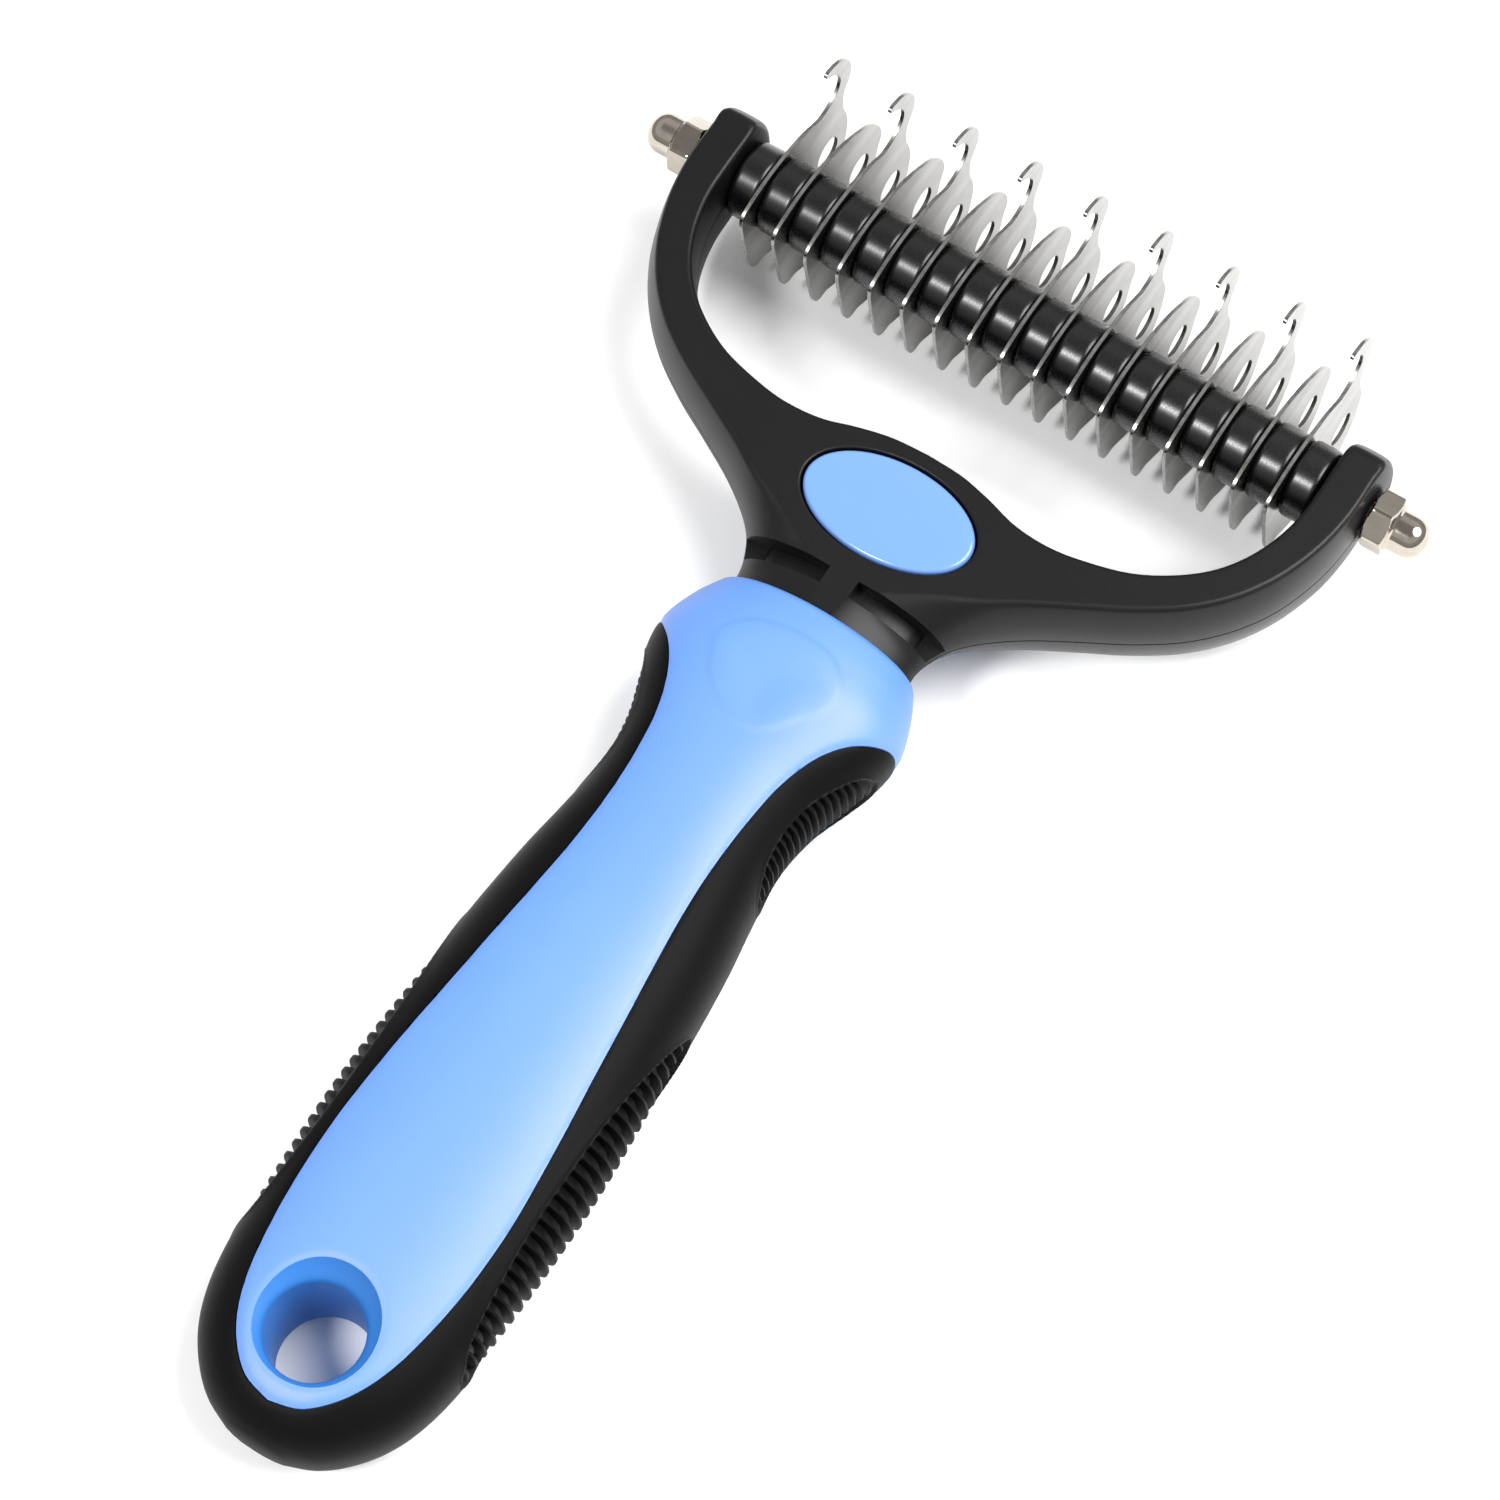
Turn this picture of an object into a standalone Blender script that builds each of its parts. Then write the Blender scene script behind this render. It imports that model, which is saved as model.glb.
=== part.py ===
"""Dematting comb: forked head with a stack of stamped blades, two-material handle.

All lengths below are in millimetres in the comb's own axes, with the blade
rod's centre as zero: +X along the rod, +Y from the handle towards the blades,
+Z up. The comb_frame empty moves the whole comb so that the world origin is
the centre of the bottom of its bounding box.
"""
import math
import bpy
import bmesh
from mathutils import Vector

MM = 0.001

# ---- overall placing --------------------------------------------------------
AXLE_Y = 75.1          # rod centre in front of the world origin
AXLE_Z = 15.4          # rod centre above the surface the comb stands on

# ---- blade stack ------------------------------------------------------------
BLADES = 17            # long ones at odd places, short ones between them
PITCH = 4.7            # blade to blade along the rod
BLADE_T = 0.5
CLEAR = 0.3            # gap between touching pieces
ROD_R = 2.0            # M4 rod
BORE_R = ROD_R + CLEAR
SPACER_R = 5.1
ROD_HALF = 53.6

# ---- fork -------------------------------------------------------------------
FORK_H = 6.5           # half thickness
ARM_IN = 41.9          # inner face of an arm
ARM_OUT = 48.1         # outer face of an arm
NECK_END = -48.4       # where the collar meets the handle
NECK_W = 12.7          # half width of the collar
SIDE_POWER = 2.2       # how the sides bulge
TIP_ROLL = 2.8         # how far the arm ends roll back at the faces
GROOVE_Y = (-45.4, -42.9)
GROOVE_DEPTH = 2.3
RIB_HALF = 2.0         # rib left between the two neck slots
TANG = (15.4, 25.0, 7.0)   # width, length inside the handle, height
BADGE_Y = -33.0
BADGE_A = 11.5
BADGE_B = 6.6
BADGE_POCKET = 1.7

# ---- cap nuts (M4, 7 mm across flats, 8 mm long with the dome) --------------
NUT_AF = 7.0
NUT_HEX = 3.2
NUT_TIP = 56.1
DOME_R = 2.75

# ---- handle -----------------------------------------------------------------
HOLE_Y = -154.4
HOLE_R = 5.9
HOLE_RIM_R = 8.3
HOLE_RIM_Z = 7.6       # where the funnel ends and the straight tunnel starts
HANDLE_FRONT = NECK_END - CLEAR
HANDLE_N = 2.45        # squareness of the handle's cross-section
HANDLE_RING = 28

# half width of the handle body at each station along Y
HALF_WIDTH = [(HANDLE_FRONT, 13.3), (-50, 14.1), (-53, 15.6), (-57, 16.8),
              (-60.5, 16.7), (-65, 15.4), (-70, 13.7), (-75, 12.9), (-80, 12.8),
              (-85, 13.4), (-91, 14.3), (-98, 15.0), (-106, 15.6), (-114, 16.3),
              (-122, 16.8), (-130, 16.9), (-138, 16.7), (-145, 16.3),
              (-151, 15.8), (-156, 14.7), (-160, 13.0), (-163.4, 10.5),
              (-166, 7.5), (-167.5, 4.2)]
# half height of the handle body at each station along Y
HALF_HEIGHT = [(HANDLE_FRONT, 7.9), (-50, 8.5), (-53, 9.4), (-57, 10.1),
               (-62, 10.2), (-70, 9.9), (-80, 9.6), (-92, 9.7), (-105, 10.1),
               (-118, 10.3), (-130, 10.1), (-142, 9.5), (-151, 9.0),
               (-157, 8.5), (-161, 7.6), (-164.5, 6.1), (-166.6, 4.3),
               (-167.5, 3.0)]
BUTT_Y = -168.0
# half width of the blue panel that shows between the rubber sides
PANEL = [(22.0, -55.4), (17.3, -58.0), (15.2, -59.6), (13.0, -61.7),
         (11.3, -64.1), (10.0, -66.8), (9.0, -70.0), (8.4, -73.3),
         (7.9, -79.0), (7.8, -85.0), (8.1, -91.0), (8.8, -98.0),
         (9.6, -105.0), (10.4, -112.5), (11.2, -119.5), (11.8, -126.0),
         (12.2, -132.0), (12.2, -137.5), (11.9, -142.8), (11.2, -148.2),
         (10.2, -153.0), (8.7, -157.0), (6.6, -160.2), (3.7, -162.7),
         (0.0, -163.7)]

# ---- fork plan at mid height, right half, from the crown round to the neck --
# x, y, inset of the face edge from the mid-height outline
FORK_HALF = [(0.0, -23.4, 0.6), (5.0, -23.7, 0.6), (9.5, -24.7, 0.6),
             (14.0, -26.0, 0.6), (19.0, -26.3, 0.6), (24.0, -25.6, 0.5),
             (28.8, -24.2, 0.5), (33.0, -21.9, 0.5), (36.4, -19.1, 0.5),
             (38.9, -15.8, 0.5), (40.7, -11.8, 0.5), (41.7, -7.4, 0.5),
             (ARM_IN, -3.0, 0.5), (ARM_IN, 1.5, 0.5), (ARM_IN, 4.9, 0.6),
             (42.3, 6.2, 0.6), (43.4, 6.8, 0.6), (46.6, 6.8, 0.6),
             (47.7, 6.2, 0.6), (ARM_OUT, 4.9, 0.6), (ARM_OUT, 1.5, 0.7),
             (ARM_OUT, -3.5, 0.7), (47.7, -8.5, 0.9), (46.6, -13.2, 1.1),
             (44.8, -17.8, 1.3), (41.9, -22.3, 1.4), (37.8, -26.5, 1.5),
             (32.6, -30.1, 1.6), (27.0, -33.2, 1.7), (21.8, -36.2, 1.9),
             (17.7, -39.2, 2.5), (14.8, -42.1, 4.2), (13.3, -44.9, 7.5),
             (NECK_W, -47.0, 10.1), (NECK_W, NECK_END, 10.5)]

# ---- blade outlines (y, z) --------------------------------------------------
LOWER = [(16.4, -8.2), (15.5, -10.7), (13.9, -12.9), (11.7, -14.5),
         (9.0, -15.4), (6.0, -15.3), (3.0, -14.4), (0.0, -12.9),
         (-2.2, -11.6), (-3.6, -10.8), (-4.9, -10.7), (-5.9, -9.9),
         (-6.5, -8.2), (-6.9, -5.5), (-7.3, -2.0), (-7.6, 1.2), (-7.7, 2.9)]
TOP = [(-7.3, 4.3), (-5.4, 5.1), (-2.2, 5.5), (0.8, 5.4), (4.0, 4.9)]
LONG = TOP + [(7.0, 4.2), (9.2, 3.2), (10.6, 2.7), (12.2, 2.8), (13.7, 3.4),
              (14.8, 4.3), (15.2, 5.5), (15.0, 6.9), (14.2, 8.2), (13.2, 9.2),
              (12.3, 9.9), (12.2, 10.5), (12.8, 10.75), (14.0, 10.5),
              (15.6, 9.7), (16.9, 8.3), (17.7, 6.5), (17.8, 4.7), (17.2, 3.2),
              (16.2, 1.9), (15.8, 0.2), (15.8, -1.6), (16.3, -3.4),
              (16.7, -5.6)] + LOWER
SHORT = TOP + [(7.0, 4.0), (9.6, 2.9), (12.0, 1.5), (14.2, 0.0), (15.9, -1.9),
               (17.0, -4.1), (17.3, -6.2)] + LOWER
EYE = (11.8, -7.2, 2.3)   # round opening below the hook: centre, radius


# ---- helpers ----------------------------------------------------------------
def clear_scene():
    for ob in list(bpy.data.objects):
        bpy.data.objects.remove(ob, do_unlink=True)
    for block in (bpy.data.meshes, bpy.data.materials):
        for item in list(block):
            block.remove(item)


def material(name, color, rough, metal=0.0):
    m = bpy.data.materials.new(name)
    m.use_nodes = True
    b = m.node_tree.nodes["Principled BSDF"]
    b.inputs["Base Color"].default_value = (*color, 1.0)
    b.inputs["Roughness"].default_value = rough
    b.inputs["Metallic"].default_value = metal
    m.diffuse_color = (*color, 1.0)
    return m


def to_mesh(name, bm, smooth=30.0):
    bmesh.ops.recalc_face_normals(bm, faces=bm.faces)
    me = bpy.data.meshes.new(name)
    bm.to_mesh(me)
    bm.free()
    me.shade_smooth()
    me.set_sharp_from_angle(angle=math.radians(smooth))
    return me


def place(name, me, mat, parent, x=0.0, y=0.0, z=0.0):
    ob = bpy.data.objects.new(name, me)
    bpy.context.scene.collection.objects.link(ob)
    ob.parent = parent
    ob.location = (x * MM, y * MM, z * MM)
    if mat is not None:
        if len(me.materials) == 0:
            me.materials.append(mat)
        else:
            me.materials[0] = mat
    return ob


def loft(bm, rings, cap_start=True, cap_end=True, closed=False):
    """Join rings of equal length; every ring is a closed loop of points in mm."""
    loops = [[bm.verts.new(Vector(p) * MM) for p in ring] for ring in rings]
    n = len(loops[0])
    pairs = list(zip(loops, loops[1:]))
    if closed:
        pairs.append((loops[-1], loops[0]))
    for a, b in pairs:
        for i in range(n):
            j = (i + 1) % n
            bm.faces.new((a[i], a[j], b[j], b[i]))
    if not closed and cap_start:
        bm.faces.new(loops[0])
    if not closed and cap_end:
        bm.faces.new(list(reversed(loops[-1])))
    return loops


def turned(points, n, closed=True, phase=0.0):
    """Rings about the X axis from (x, r) points."""
    rings = []
    for x, r in points:
        rings.append([(x, r * math.cos(phase + 2 * math.pi * k / n),
                       r * math.sin(phase + 2 * math.pi * k / n))
                      for k in range(n)])
    return rings


def interp(table, y):
    """Smooth value of a station table (descending y) at y."""
    for k in range(len(table) - 1):
        y0, v0 = table[k]
        y1, v1 = table[k + 1]
        if y <= y0 and y >= y1:
            ym, vm = table[max(k - 1, 0)]
            yp, vp = table[min(k + 2, len(table) - 1)]
            h = y1 - y0
            m0 = (v1 - vm) / (y1 - ym) if y1 != ym else 0.0
            m1 = (vp - v0) / (yp - y0) if yp != y0 else 0.0
            t = (y - y0) / h
            return ((2 * t**3 - 3 * t**2 + 1) * v0 + (t**3 - 2 * t**2 + t) * h * m0
                    + (-2 * t**3 + 3 * t**2) * v1 + (t**3 - t**2) * h * m1)
    return table[0][1] if y > table[0][0] else table[-1][1]


def boolean(target, cutter, operation):
    """Apply one exact Boolean to target's mesh and drop the cutter."""
    mod = target.modifiers.new(operation, 'BOOLEAN')
    mod.operation = operation
    mod.object = cutter
    mod.solver = 'EXACT'
    bpy.context.view_layer.update()
    dg = bpy.context.evaluated_depsgraph_get()
    me = bpy.data.meshes.new_from_object(target.evaluated_get(dg))
    target.modifiers.clear()
    old = target.data
    target.data = me
    bpy.data.meshes.remove(old)
    bpy.data.objects.remove(cutter, do_unlink=True)


def tidy(ob, mat, smooth=30.0):
    """Remove slivers left by the cuts and set the shading and the material."""
    bm = bmesh.new()
    bm.from_mesh(ob.data)
    bmesh.ops.remove_doubles(bm, verts=bm.verts, dist=0.00002)
    bmesh.ops.dissolve_degenerate(bm, edges=bm.edges, dist=0.00001)
    bmesh.ops.triangulate(bm, faces=bm.faces, quad_method='BEAUTY', ngon_method='EAR_CLIP')
    bmesh.ops.recalc_face_normals(bm, faces=bm.faces)
    bm.to_mesh(ob.data)
    bm.free()
    ob.data.materials.clear()
    ob.data.materials.append(mat)
    for p in ob.data.polygons:
        p.material_index = 0
    ob.data.shade_smooth()
    ob.data.set_sharp_from_angle(angle=math.radians(smooth))


def scratch(name, bm, parent):
    return place(name, to_mesh(name, bm), None, parent)


def prism_z(points, z0, z1):
    bm = bmesh.new()
    loft(bm, [[(x, y, z0) for x, y in points], [(x, y, z1) for x, y in points]])
    return bm


def cylinder_z(cx, cy, profile, n):
    """Turned solid about a Z axis from (r, z) points."""
    bm = bmesh.new()
    loft(bm, [[(cx + r * math.cos(2 * math.pi * k / n),
                cy + r * math.sin(2 * math.pi * k / n), z) for k in range(n)]
              for r, z in profile])
    return bm


def box(x0, x1, y0, y1, z0, z1):
    bm = bmesh.new()
    loft(bm, [[(x0, y0, z), (x1, y0, z), (x1, y1, z), (x0, y1, z)] for z in (z0, z1)])
    return bm


# ---- the pieces -------------------------------------------------------------
def blade_mesh(name, outline):
    """Stamped plate: outline, rod hole and a round eye, extruded along X."""
    bm = bmesh.new()
    hole = [(BORE_R * math.cos(2 * math.pi * k / 12), BORE_R * math.sin(2 * math.pi * k / 12))
            for k in range(12)]
    cy, cz, r = EYE
    eye = [(cy + r * math.cos(2 * math.pi * k / 12), cz + r * math.sin(2 * math.pi * k / 12))
           for k in range(12)]
    edges = []
    for loop in (outline, hole, eye):
        vs = [bm.verts.new(Vector((-BLADE_T / 2, y, z)) * MM) for y, z in loop]
        edges += [bm.edges.new((vs[i], vs[(i + 1) % len(vs)])) for i in range(len(vs))]
    bmesh.ops.triangle_fill(bm, use_beauty=True, use_dissolve=False, edges=edges)
    back = bmesh.ops.extrude_face_region(bm, geom=list(bm.faces))
    moved = [g for g in back["geom"] if isinstance(g, bmesh.types.BMVert)]
    bmesh.ops.translate(bm, verts=moved, vec=Vector((BLADE_T * MM, 0, 0)))
    return to_mesh(name, bm)


def spacer_mesh(name, half):
    """Plain tube."""
    bm = bmesh.new()
    prof = [(-half, BORE_R), (-half, SPACER_R), (half, SPACER_R), (half, BORE_R)]
    loft(bm, turned(prof, 18), closed=True)
    return to_mesh(name, bm)


def rod_mesh(name):
    bm = bmesh.new()
    c = 0.5
    prof = [(-ROD_HALF, ROD_R - c), (-ROD_HALF + c, ROD_R), (ROD_HALF - c, ROD_R),
            (ROD_HALF, ROD_R - c)]
    loft(bm, turned(prof, 18))
    return to_mesh(name, bm)


def nut_mesh(name):
    """Cap nut with its seat at x = 0 and its dome towards +x."""
    n = 18
    length = NUT_TIP - ARM_OUT - CLEAR
    hexh = NUT_HEX

    def hexring(x, limit):
        ring = []
        for k in range(n):
            a = 2 * math.pi * k / n
            b = (a + math.pi / 6) % (math.pi / 3) - math.pi / 6
            r = min(NUT_AF / 2 / math.cos(b), limit)
            ring.append((x, r * math.cos(a + math.pi / 2), r * math.sin(a + math.pi / 2)))
        return ring

    def ring(x, r):
        return [(x, r * math.cos(2 * math.pi * k / n + math.pi / 2),
                 r * math.sin(2 * math.pi * k / n + math.pi / 2)) for k in range(n)]

    straight = length - DOME_R * 0.85
    rings = [ring(5.75, BORE_R * 0.5), ring(5.6, BORE_R), ring(0.0, BORE_R),
             hexring(0.0, 3.55), hexring(0.35, 4.2), hexring(hexh - 0.45, 4.2),
             hexring(hexh, 3.35), ring(hexh, DOME_R), ring(straight, DOME_R)]
    for t in (25, 50, 72):
        a = math.radians(t)
        rings.append(ring(straight + DOME_R * 0.85 * math.sin(a), DOME_R * math.cos(a)))
    rings.append(ring(length, DOME_R * 0.12))
    bm = bmesh.new()
    loft(bm, rings)
    return to_mesh(name, bm)


def smooth_loop(points, steps):
    """Open Catmull-Rom curve through the points, steps samples per span."""
    out = []
    n = len(points)
    for i in range(n - 1):
        p0 = points[max(i - 1, 0)]
        p1, p2 = points[i], points[i + 1]
        p3 = points[min(i + 2, n - 1)]
        for s in range(steps):
            t = s / steps
            out.append(tuple(0.5 * (2 * b + (c - a) * t + (2 * a - 5 * b + 4 * c - d) * t * t
                                    + (3 * b - a - 3 * c + d) * t**3)
                             for a, b, c, d in zip(p0, p1, p2, p3)))
    out.append(tuple(points[-1]))
    return out


def fork_outline():
    """Closed plan outline at mid height with outward normals and insets."""
    right = smooth_loop(FORK_HALF, 2)
    full = right + [(-x, y, e) for x, y, e in reversed(right[1:])]
    n = len(full)
    out = []
    for i in range(n):
        ax, ay = full[i - 1][:2]
        bx, by = full[(i + 1) % n][:2]
        tx, ty = bx - ax, by - ay
        d = math.hypot(tx, ty)
        out.append((full[i][0], full[i][1], full[i][2], -ty / d, tx / d))
    # the collar ends square on the handle: its end points move sideways only
    fixed = []
    for x, y, e, nx, ny in out:
        if abs(y - NECK_END) < 1e-6:
            nx, ny = (1.0 if x > 0 else -1.0), 0.0
        fixed.append((x, y, e, nx, ny))
    # normals must point out of the material
    area = sum(fixed[i][0] * fixed[(i + 1) % n][1] - fixed[(i + 1) % n][0] * fixed[i][1]
               for i in range(n))
    flip = 1.0 if area < 0 else -1.0
    return [(x, y, e, nx * flip, ny * flip) if abs(y - NECK_END) > 1e-6 else (x, y, e, nx, ny)
            for x, y, e, nx, ny in fixed]


def fork_body(parent, mat):
    outline = fork_outline()
    levels = [(0.0, 0.0), (0.5, 0.0), (0.78, 0.0), (0.95, 0.0), (1.0, 0.35)]
    levels = [(-t, extra) for t, extra in reversed(levels[1:])] + levels
    rings = []
    for t, extra in levels:
        ring = []
        for x, y, e, nx, ny in outline:
            s = e * abs(t) ** SIDE_POWER + extra
            if abs(y - NECK_END) < 1e-6:
                s = e * abs(t) ** SIDE_POWER
            if y > 1.2:
                roll = (TIP_ROLL * abs(t) ** SIDE_POWER + extra) / 5.6
                ring.append((x - nx * s, 1.2 + (y - 1.2) * (1 - roll), t * FORK_H))
            else:
                ring.append((x - nx * s, y - ny * s, t * FORK_H))
        rings.append(ring)
    bm = bmesh.new()
    loops = loft(bm, rings, cap_start=False, cap_end=False)
    for loop in (loops[0], loops[-1]):
        rim = [bm.edges.get((loop[i], loop[i - 1])) for i in range(len(loop))]
        bmesh.ops.triangle_fill(bm, use_beauty=True, use_dissolve=False, edges=rim)
    fork = place("fork", to_mesh("fork", bm), None, parent)

    # tang that runs back into the handle
    w, run, h = TANG
    boolean(fork, scratch("tang", box(-w / 2, w / 2, NECK_END - run, NECK_END + 4,
                                      -h / 2, h / 2), parent), 'UNION')
    # rod bores
    for side in (-1, 1):
        bm = bmesh.new()
        loft(bm, turned([(side * 35, BORE_R), (side * 55, BORE_R)], 18))
        boolean(fork, scratch("bore", bm, parent), 'DIFFERENCE')
    # badge pockets
    for side in (-1, 1):
        z0 = side * (FORK_H - BADGE_POCKET)
        z1 = side * (FORK_H + 3)
        pts = [((BADGE_A + CLEAR) * math.cos(2 * math.pi * k / 36),
                BADGE_Y + (BADGE_B + CLEAR) * math.sin(2 * math.pi * k / 36))
               for k in range(36)]
        boolean(fork, scratch("pocket", prism_z(pts, min(z0, z1), max(z0, z1)), parent),
                'DIFFERENCE')
    # the four neck slots, two on each face, either side of a rib
    y0, y1 = GROOVE_Y
    for face in (-1, 1):
        for side in (-1, 1):
            loop = []
            for k in range(12):
                a = math.radians(7.0 + 83.0 * k / 11)
                x = (13.4 - GROOVE_DEPTH) * math.cos(a) ** (2 / 2.15)
                z = (FORK_H - GROOVE_DEPTH) * math.sin(a) ** (2 / 2.15)
                if x > RIB_HALF + 0.3:
                    loop.append((side * x, face * z))
            loop.append((side * RIB_HALF, loop[-1][1] + face * 0.1))
            loop.append((side * RIB_HALF, face * 12.0))
            loop.append((side * 20.0, face * 12.0))
            loop.append((side * 20.0, loop[0][1]))
            bm = bmesh.new()
            loft(bm, [[(x, y, z) for x, z in loop] for y in (y0, y1)])
            boolean(fork, scratch("groove", bm, parent), 'DIFFERENCE')
    tidy(fork, mat)
    return fork


def badge_mesh(name, face):
    """Oval insert: flat outer face with a rounded edge."""
    z0 = FORK_H - BADGE_POCKET + CLEAR
    z1 = FORK_H - 0.1
    bm = bmesh.new()
    rings = []
    for z, inset in ((z0, 0.0), (z1 - 0.5, 0.0), (z1 - 0.15, 0.16), (z1, 0.5)):
        rings.append([((BADGE_A - inset) * math.cos(2 * math.pi * k / 36),
                       (BADGE_B - inset) * math.sin(2 * math.pi * k / 36), face * z)
                      for k in range(36)])
    loft(bm, rings)
    return to_mesh(name, bm)


def handle_rings():
    stations = [HANDLE_FRONT, -49.2, -50.2, -52, -54.5, -57.5, -61, -65, -70, -75, -81,
                -88, -96, -104, -112, -120, -128, -136, -143, -149, -154, -158,
                -161.3, -164, -166, -167.3]
    rings = []
    for y in stations:
        w, h = interp(HALF_WIDTH, y), interp(HALF_HEIGHT, y)
        if y == HANDLE_FRONT:
            w, h = w - 0.1, h - 0.1
        ring = []
        for k in range(HANDLE_RING):
            a = 2 * math.pi * (k + 0.5) / HANDLE_RING
            c, s = math.cos(a), math.sin(a)
            ring.append((math.copysign(abs(c) ** (2 / HANDLE_N), c) * w, y,
                         math.copysign(abs(s) ** (2 / HANDLE_N), s) * h))
        rings.append(ring)
    rings.append([(x * 0.45, BUTT_Y, z * 0.45) for x, y, z in rings[-1]])
    return rings


def panel_outline(grow):
    """Plan outline of the blue panel, moved outwards by grow."""
    right = smooth_loop(PANEL, 2)
    pts = [(30.0, -40.0)] + [(30.0, PANEL[0][1])] + right
    full = pts + [(-x, y) for x, y in reversed(pts[:-1])]
    n = len(full)
    out = []
    for i in range(n):
        x, y = full[i]
        if abs(x) >= 29.9:
            out.append((x, y - grow if y < -45 else y))
            continue
        ax, ay = full[i - 1]
        bx, by = full[(i + 1) % n]
        tx, ty = bx - ax, by - ay
        d = math.hypot(tx, ty)
        out.append((x + grow * -ty / d * 1.0, y + grow * tx / d * 1.0))
    return out


def handle(parent, mat_core, mat_grip):
    bm = bmesh.new()
    loft(bm, handle_rings())
    core = place("handle_core", to_mesh("handle_core", bm), None, parent)
    bm = bmesh.new()
    loft(bm, handle_rings())
    grip = place("grip_overmould", to_mesh("grip_overmould", bm), None, parent)

    grow = -CLEAR / 2
    boolean(core, scratch("panel", prism_z(panel_outline(grow), -20, 20), parent), 'INTERSECT')
    boolean(grip, scratch("panel", prism_z(panel_outline(-grow), -20, 20), parent), 'DIFFERENCE')

    # hanging hole: straight tunnel with a funnel at each face
    prof = [(HOLE_RIM_R + 3.4, -13.0), (HOLE_RIM_R, -9.2), (HOLE_R, -HOLE_RIM_Z + 0.6),
            (HOLE_R, HOLE_RIM_Z - 0.6), (HOLE_RIM_R, 9.2), (HOLE_RIM_R + 3.4, 13.0)]
    boolean(core, scratch("hole", cylinder_z(0, HOLE_Y, prof, 32), parent), 'DIFFERENCE')
    # socket for the fork's tang
    w, run, h = TANG
    boolean(core, scratch("socket", box(-w / 2 - CLEAR, w / 2 + CLEAR, NECK_END - run - CLEAR,
                                        -40, -h / 2 - CLEAR, h / 2 + CLEAR), parent),
            'DIFFERENCE')
    tidy(core, mat_core)
    tidy(grip, mat_grip)
    return core, grip


def main():
    clear_scene()
    steel = material("blade_steel", (0.70, 0.70, 0.69), 0.28, 1.0)
    rod_m = material("rod_steel", (0.45, 0.45, 0.46), 0.35, 1.0)
    nickel = material("nut_nickel", (0.72, 0.69, 0.64), 0.2, 1.0)
    black = material("fork_black", (0.018, 0.018, 0.019), 0.45)
    gloss = material("spacer_black", (0.012, 0.012, 0.013), 0.25)
    rubber = material("grip_rubber", (0.012, 0.012, 0.012), 0.7)
    blue = material("handle_blue", (0.10, 0.33, 0.87), 0.38)
    badge = material("badge_blue", (0.13, 0.38, 0.90), 0.25)

    frame = bpy.data.objects.new("comb_frame", None)
    bpy.context.scene.collection.objects.link(frame)
    frame.location = (0.0, AXLE_Y * MM, AXLE_Z * MM)

    fork_body(frame, black)
    handle(frame, blue, rubber)
    place("badge_front", badge_mesh("badge_front", 1), badge, frame, y=BADGE_Y)
    place("badge_back", badge_mesh("badge_back", -1), badge, frame, y=BADGE_Y)

    place("threaded_rod", rod_mesh("threaded_rod"), rod_m, frame)
    long_me = blade_mesh("blade_long", LONG)
    short_me = blade_mesh("blade_short", SHORT)
    n_long = n_short = 0
    for i in range(BLADES):
        x = (i - (BLADES - 1) / 2) * PITCH
        if i % 2 == 0:
            n_long += 1
            place("blade_long_%d" % n_long, long_me, steel, frame, x=x)
        else:
            n_short += 1
            place("blade_short_%d" % n_short, short_me, steel, frame, x=x)
    half = (PITCH - BLADE_T) / 2 - CLEAR
    sp = spacer_mesh("spacer", half)
    for i in range(BLADES - 1):
        place("spacer_%d" % (i + 1), sp, gloss, frame,
              x=(i + 0.5 - (BLADES - 1) / 2) * PITCH)
    outer_blade = (BLADES - 1) / 2 * PITCH + BLADE_T / 2
    end_half = (ARM_IN - outer_blade) / 2 - CLEAR
    end_x = (ARM_IN + outer_blade) / 2
    end_me = spacer_mesh("end_spacer", end_half)
    place("end_spacer_left", end_me, gloss, frame, x=-end_x)
    place("end_spacer_right", end_me, gloss, frame, x=end_x)

    nut = nut_mesh("cap_nut")
    place("cap_nut_right", nut, nickel, frame, x=ARM_OUT + CLEAR)
    left = place("cap_nut_left", nut, nickel, frame, x=-ARM_OUT - CLEAR)
    left.rotation_euler = (0.0, 0.0, math.pi)


main()
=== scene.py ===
"""Looks of the dematting comb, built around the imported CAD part.

Lengths in the tables are millimetres in the comb's own axes, with the blade
rod's centre as zero: +X along the rod, +Y from the handle towards the blades,
+Z up. W() takes them to the row frame in metres.
"""
import math

import bmesh
import bpy
import numpy as np
from mathutils import Matrix, Vector


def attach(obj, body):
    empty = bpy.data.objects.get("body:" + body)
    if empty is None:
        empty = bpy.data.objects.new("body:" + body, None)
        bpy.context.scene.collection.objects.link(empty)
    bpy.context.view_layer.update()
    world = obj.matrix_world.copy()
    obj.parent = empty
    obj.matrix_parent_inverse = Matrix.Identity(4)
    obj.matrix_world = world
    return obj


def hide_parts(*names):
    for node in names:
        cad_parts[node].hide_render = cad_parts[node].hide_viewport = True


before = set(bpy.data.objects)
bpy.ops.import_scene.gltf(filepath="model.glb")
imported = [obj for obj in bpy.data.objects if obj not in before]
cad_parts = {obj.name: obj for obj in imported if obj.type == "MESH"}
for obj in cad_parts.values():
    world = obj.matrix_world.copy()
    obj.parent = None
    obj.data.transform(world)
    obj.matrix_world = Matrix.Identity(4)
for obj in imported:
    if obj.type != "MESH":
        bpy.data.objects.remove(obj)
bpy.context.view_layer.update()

ORIGIN = np.array([0.0, 0.0751, 0.0154])
SCENE = bpy.context.scene


def W(p):
    return np.asarray(p, float) * 0.001 + ORIGIN


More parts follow.
